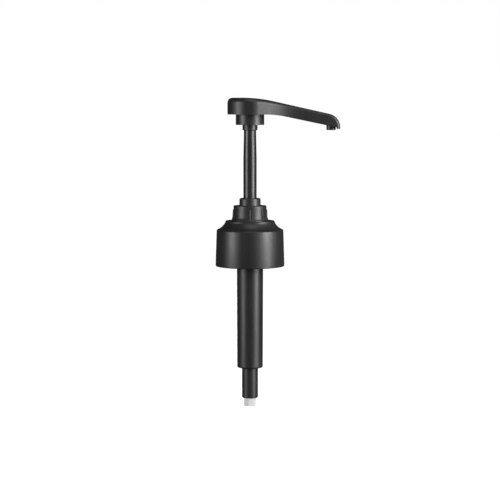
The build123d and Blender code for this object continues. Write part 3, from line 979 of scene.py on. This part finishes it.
@dataclass
class Head:
    """The hood over the stem's socket, with its saddles, flow tube and outlet ring."""

    boss_radius: float = 13.9
    roof: Sweep = Sweep(level=85.32, start=-5.0, bend=90.97, droop=12.7)
    edge: Sweep = Sweep(level=75.07, start=10.0, bend=53.35, droop=11.9)
    flank_turn: float = 22.0
    leave_pull: float = 1.35
    arrive_pull: float = 1.25
    neck: float = 33.0
    neck_half: float = 5.32
    taper: float = 1.5
    nose_start: float = 46.2
    nose_x: float = 47.0
    nose_z: float = 67.17
    nose_radius: float = 8.5
    lip: float = 66.25
    wall: float = 1.6
    boss_round: float = 3.0
    arm_round: float = 1.8
    rim_ease: float = 0.2
    rim_angle: float = 50.0
    rim_segments: int = 2
    smooth: float = 40.0
    tube_height: float = 81.3
    tube_radius: float = 2.52
    saddle_first: float = 17.5
    saddle_spacing: float = 11.5
    saddle_count: int = 3
    saddle_thickness: float = 1.2
    saddle_sunk: float = 0.3
    saddle_steps: int = 12
    back_steps: int = 34
    flank_steps: int = 20
    arm_steps: int = 6
    nose_steps: int = 9
    rim_steps: int = 6
    nodes: tuple[str, ...] = ("head_core", "spout_tube", "outlet_nozzle")

    def half(self, along: float) -> float:
        """Half of the straight arm's width at a place along it."""
        return self.neck_half - (along - self.neck) * math.tan(math.radians(self.taper))

    def outline(self) -> list[tuple[Vector, Vector]]:
        """Plan of the hood's far side, from the boss's back to the nose.

        Returns:
            Each point, with its outward direction.
        """
        places: list[tuple[Vector, Vector]] = []
        for step in range(self.back_steps + 1):
            turn = math.radians(180 - (90 + self.flank_turn) * step / self.back_steps)
            out = Vector((math.cos(turn), math.sin(turn), 0.0))
            places.append((out * self.boss_radius, out))
        start, out = places[-1]
        end, taper = Vector((self.neck, self.neck_half, 0.0)), math.radians(self.taper)
        reach = (end - start).length
        leave = Vector((out.y, -out.x, 0.0)) * reach * self.leave_pull
        arrive = Vector((math.cos(taper), -math.sin(taper), 0.0)) * reach * self.arrive_pull
        for step in range(1, self.flank_steps + 1):
            u = step / self.flank_steps
            place = start * (2 * u**3 - 3 * u**2 + 1) + leave * (u**3 - 2 * u**2 + u)
            place += end * (3 * u**2 - 2 * u**3) + arrive * (u**3 - u**2)
            travel = (end - start) * (6 * u - 6 * u**2) + leave * (3 * u**2 - 4 * u + 1)
            travel += arrive * (3 * u**2 - 2 * u)
            places.append((place, Vector((-travel.y, travel.x, 0.0)).normalized()))
        for step in range(1, self.arm_steps + 1):
            along = self.neck + (self.nose_start - self.neck) * step / self.arm_steps
            side = Vector((math.sin(taper), math.cos(taper), 0.0))
            places.append((Vector((along, self.half(along), 0.0)), side))
        return places

    def rim(self, turn: float) -> list[Vector]:
        """One line of points along the rounded rim, from the boss's back to the lip.

        Args:
            turn: How far round the rim the line lies, in radians, from 0 on the wall to a right
                angle on the roof.

        Returns:
            The line's points.
        """
        points: list[Vector] = []
        for place, out in self.outline():
            share = min(1.0, max(0.0, place.x / self.neck))
            size = self.boss_round + (self.arm_round - self.boss_round) * share
            spot = place - out * size * (1 - math.cos(turn))
            height = self.roof.height(spot.x, size * (1 - math.sin(turn)))
            points.append(Vector((spot.x, spot.y, height)))
        inset = self.arm_round * (1 - math.cos(turn))
        radius = self.nose_radius - self.arm_round * (1 - math.sin(turn))
        for step in range(self.nose_steps + 1):
            rise = math.radians(90 - self.roof.droop) * (1 - step / self.nose_steps)
            along = self.nose_x + radius * math.cos(rise)
            height = self.nose_z + radius * math.sin(rise)
            points.append(Vector((along, self.half(along) - inset, height)))
        points.append(Vector((points[-1].x, points[-1].y, self.lip)))
        return points

    def hood(self) -> bpy.types.Object:
        """Skin one half of the hood line by line, mirror it and give it its wall.

        Returns:
            The finished hood.
        """
        steps = range(self.rim_steps + 1)
        lines = [self.rim(math.pi / 2 * step / self.rim_steps) for step in steps]
        foot = [Vector((spot.x, spot.y, self.edge.height(spot.x))) for spot in lines[0]]
        foot[-2].z = foot[-1].z = self.lip
        spine = [Vector((spot.x, 0.0, spot.z)) for spot in lines[-1]]
        lines = [foot, *lines, spine]
        piece = stock("hood_shell")
        for number, line in enumerate(lines):
            if number:
                add_point()
            draw([spot * MM for spot in line], closed=False, weld=False)
        count = len(foot)
        for number in range(len(lines) - 1):
            pair = range(number * count, (number + 2) * count)
            choose(piece, "edges", lambda e, pair=pair: all(v.index in pair for v in e.verts))
            bpy.ops.mesh.bridge_edge_loops()
        bpy.ops.object.mode_set(mode="OBJECT")
        mirror = piece.modifiers.new("far_half", "MIRROR")
        mirror.use_axis = (False, True, False)
        mirror.merge_threshold = 10 * WELD
        apply_all(piece)
        bpy.ops.object.mode_set(mode="EDIT")
        close_up(self.smooth)
        wall = piece.modifiers.new("wall", "SOLIDIFY")
        wall.thickness = self.wall * MM
        wall.offset = -1.0
        wall.use_even_offset = True
        ease = piece.modifiers.new("ease", "BEVEL")
        ease.width = self.rim_ease * MM
        ease.segments = self.rim_segments
        ease.limit_method = "ANGLE"
        ease.angle_limit = math.radians(self.rim_angle)
        apply_all(piece)
        bpy.ops.object.mode_set(mode="EDIT")
        weld_all()
        bpy.ops.object.mode_set(mode="OBJECT")
        piece.modifiers.new("normals", "WEIGHTED_NORMAL").keep_sharp = True
        apply_all(piece)
        return piece

    def inside(self, along: float) -> float:
        """Half of the hollow's width at a place along the arm.

        Args:
            along: The place.

        Returns:
            The distance from the middle to the wall's inner face.
        """
        places = [place for place, _ in self.outline()]
        for here, there in zip(places, places[1:]):
            if here.x <= along <= there.x:
                share = (along - here.x) / (there.x - here.x)
                return here.y + (there.y - here.y) * share - self.wall
        return self.half(along) - self.wall

    def saddle(self, number: int) -> bpy.types.Object:
        """Cut one web that spans the hollow and straddles the flow tube.

        Args:
            number: Its place in the row, from 0.

        Returns:
            The finished web.
        """
        along = self.saddle_first + number * self.saddle_spacing
        side = self.inside(along) + self.saddle_sunk
        low = self.tube_height - along * math.tan(math.radians(self.edge.droop))
        high = self.roof.height(along, self.wall - self.saddle_sunk)
        back = along - self.saddle_thickness / 2
        spots = [Vector((back, -side, high)), Vector((back, side, high)), Vector((back, side, low))]
        for step in range(self.saddle_steps + 1):
            turn = math.pi * step / self.saddle_steps
            across, up = math.cos(turn) * self.tube_radius, math.sin(turn) * self.tube_radius
            spots.append(Vector((back, across, low + up)))
        spots.append(Vector((back, -side, low)))
        piece = stock(f"hood_saddle_{number + 1}")
        draw([spot * MM for spot in spots])
        bpy.ops.mesh.edge_face_add()
        bpy.ops.mesh.extrude_region_move(
            TRANSFORM_OT_translate={"value": (self.saddle_thickness * MM, 0.0, 0.0)}
        )
        close_up()
        return piece

    def build(self, wardrobe: Wardrobe) -> list[str]:
        """Make and dress the head.

        Args:
            wardrobe: The finishes.

        Returns:
            The names of its pieces.
        """
        hood = self.hood()
        pieces = [hood, *(self.saddle(number) for number in range(self.saddle_count))]
        for piece in pieces:
            wardrobe.dress_piece(piece, "handle_shell", "plunger")
        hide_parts("handle_shell")
        for node in self.nodes:
            wardrobe.dress_node(node)
        return [piece.name for piece in pieces] + list(self.nodes)


# --- Studio


@dataclass(frozen=True)
class Softbox:
    """A soft rectangular light that faces the pump."""

    name: str
    azimuth: float
    elevation: float
    width: float
    height: float
    power: float
    distance: float = 1.0

    def hang(self, aim: Vector) -> None:
        """Hang the light.

        Args:
            aim: The point that it faces.
        """
        turn, rise = math.radians(self.azimuth), math.radians(self.elevation)
        across = math.cos(rise) * self.distance
        up = math.sin(rise) * self.distance
        offset = Vector((math.sin(turn) * across, -math.cos(turn) * across, up))
        lamp = bpy.data.lights.new(self.name, "AREA")
        lamp.shape = "RECTANGLE"
        lamp.size, lamp.size_y = self.width, self.height
        lamp.energy = self.power
        holder = bpy.data.objects.new(self.name, lamp)
        bpy.context.scene.collection.objects.link(holder)
        holder.location = aim + offset
        holder.rotation_euler = (-offset).to_track_quat("-Z", "Y").to_euler()
        holder.visible_camera = False


@dataclass
class Studio:
    """Camera, lights, pale floor and white surround."""

    lens: float = 129.46
    sensor: float = 36.0
    camera_place: tuple[float, float, float] = (0.0, -1.1105, 0.0884)
    camera_tilt: float = 85.0
    aim_height: float = 0.02
    floor_drop: float = 0.2
    floor_size: float = 30.0
    floor_tone: float = 0.9
    surround: float = 0.05

    def camera(self) -> None:
        """Place the camera and make it the scene's own."""
        data = bpy.data.cameras.new("camera")
        data.lens, data.sensor_width = self.lens, self.sensor
        holder = bpy.data.objects.new("camera", data)
        bpy.context.scene.collection.objects.link(holder)
        holder.location = self.camera_place
        holder.rotation_euler = (math.radians(self.camera_tilt), 0.0, 0.0)
        bpy.context.scene.camera = holder

    def lights(self) -> None:
        """Hang two tall softboxes at the sides, one overhead and one low behind."""
        aim = Vector((0.0, 0.0, self.aim_height))
        for box in (
            Softbox("left_box", azimuth=-62.0, elevation=4.0, width=0.36, height=0.5, power=6.6),
            Softbox("right_box", azimuth=60.0, elevation=12.0, width=0.46, height=0.8, power=18.0),
            Softbox("top_box", azimuth=10.0, elevation=70.0, width=0.5, height=0.3, power=2.0),
            Softbox("back_box", azimuth=180.0, elevation=-20.0, width=0.5, height=0.5, power=5.0),
        ):
            box.hang(aim)

    def surroundings(self) -> None:
        """Make the surround white to the camera and dim to the pump."""
        world = bpy.data.worlds.new("surround")
        bpy.context.scene.world = world
        world.use_nodes = True
        tree = world.node_tree
        tree.nodes.clear()
        seen, dim = (tree.nodes.new("ShaderNodeBackground") for _ in range(2))
        for background, strength in ((seen, 1.0), (dim, self.surround)):
            background.inputs["Color"].default_value = WHITE
            background.inputs["Strength"].default_value = strength
        mix = tree.nodes.new("ShaderNodeMixShader")
        path = tree.nodes.new("ShaderNodeLightPath")
        out = tree.nodes.new("ShaderNodeOutputWorld")
        tree.links.new(path.outputs["Is Camera Ray"], mix.inputs["Fac"])
        tree.links.new(dim.outputs["Background"], mix.inputs[1])
        tree.links.new(seen.outputs["Background"], mix.inputs[2])
        tree.links.new(mix.outputs["Shader"], out.inputs["Surface"])
        bpy.context.scene.view_settings.view_transform = "Standard"

    def floor(self) -> None:
        """Lay a plain pale floor well below the pump's foot, which is clear from underneath."""
        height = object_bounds()[0].z - self.floor_drop
        bpy.ops.object.select_all(action="DESELECT")
        bpy.ops.mesh.primitive_plane_add(size=self.floor_size, location=(0.0, 0.0, height))
        floor = bpy.context.object
        floor.name = "floor"
        paint = bpy.data.materials.new("pale_floor")
        paint.use_nodes = True
        tree = paint.node_tree
        shader = tree.nodes["Principled BSDF"]
        shader.inputs["Base Color"].default_value = (*[self.floor_tone] * 3, 1.0)
        shader.inputs["Roughness"].default_value = 1.0
        shader.inputs["Emission Color"].default_value = WHITE
        shader.inputs["Emission Strength"].default_value = 1.0
        clear = tree.nodes.new("ShaderNodeBsdfTransparent")
        side = tree.nodes.new("ShaderNodeNewGeometry")
        mix = tree.nodes.new("ShaderNodeMixShader")
        tree.links.new(side.outputs["Backfacing"], mix.inputs["Fac"])
        tree.links.new(shader.outputs["BSDF"], mix.inputs[1])
        tree.links.new(clear.outputs["BSDF"], mix.inputs[2])
        tree.links.new(mix.outputs["Shader"], tree.nodes["Material Output"].inputs["Surface"])
        floor.data.materials.append(paint)
        floor.visible_diffuse = False
        floor.visible_glossy = False
        floor.visible_transmission = False
        floor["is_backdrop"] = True

    def build(self) -> None:
        """Set the whole studio."""
        self.camera()
        self.lights()
        self.surroundings()
        self.floor()


def main() -> None:
    """Build every sub-assembly in order, report its pieces and set the studio."""
    logging.basicConfig(level=logging.INFO, format="%(name)s: %(message)s")
    wardrobe = Wardrobe()
    for part in (PumpBody(), Closure(), LockCollar(), Plunger(), Head()):
        for name in part.build(wardrobe):
            log.info("%s: %s", type(part).__name__, name)
    Studio().build()


if __name__ == "__main__":
    main()
